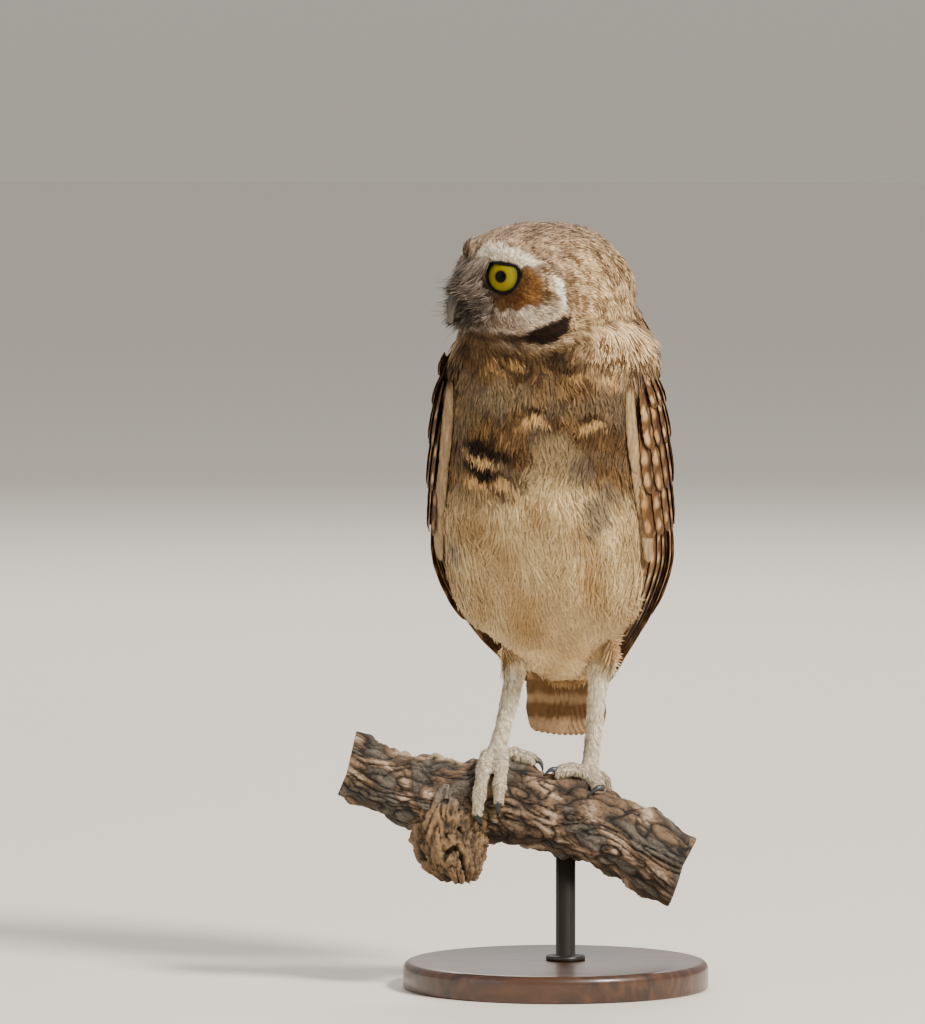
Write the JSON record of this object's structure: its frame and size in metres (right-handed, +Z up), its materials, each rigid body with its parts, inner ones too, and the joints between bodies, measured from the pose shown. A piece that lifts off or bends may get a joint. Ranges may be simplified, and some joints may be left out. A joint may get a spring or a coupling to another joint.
{
  "type": "burrowing owl, life-size model on a branch stand",
  "caption": "Life-size standing burrowing owl with its head turned to its right, on a cut length of branch held by a round display stand.",
  "frame": {"origin": "centre of the display base's underside, on the floor", "axes": "+Z up; -Y is the way the bird's breast faces; +X is the bird's left"},
  "size_m": [0.1481, 0.124, 0.312],
  "materials": {
    "head_plumage": "soft matt feathers",
    "body_plumage": "soft matt feathers",
    "flight_feathers": "satin feather vanes",
    "bill": "satin horn",
    "eye": "wet gloss",
    "leg": "short matt feathering",
    "claw": "satin horn",
    "bark": "rough weathered bark",
    "stand_metal": "satin black",
    "stand_wood": "satin varnish"
  },
  "bodies": {
    "root": {"head": "head_plumage", "neck": "head_plumage", "torso": "body_plumage", "tail": "flight_feathers", "wing_left": "flight_feathers", "wing_right": "flight_feathers", "bill_upper": "bill", "bill_lower": "bill", "eye_left": "eye", "eye_right": "eye", "thigh_left": "body_plumage", "thigh_right": "body_plumage", "shank_left": "leg", "shank_right": "leg", "foot_left": "leg", "foot_right": "leg", "claw_left_inner": "claw", "claw_left_middle": "claw", "claw_left_outer": "claw", "claw_left_hind": "claw", "claw_right_inner": "claw", "claw_right_middle": "claw", "claw_right_outer": "claw", "claw_right_hind": "claw", "perch": "bark", "perch_stub": "bark", "stand_rod": "stand_metal", "stand_base": "stand_wood"}
  },
  "joints": []
}
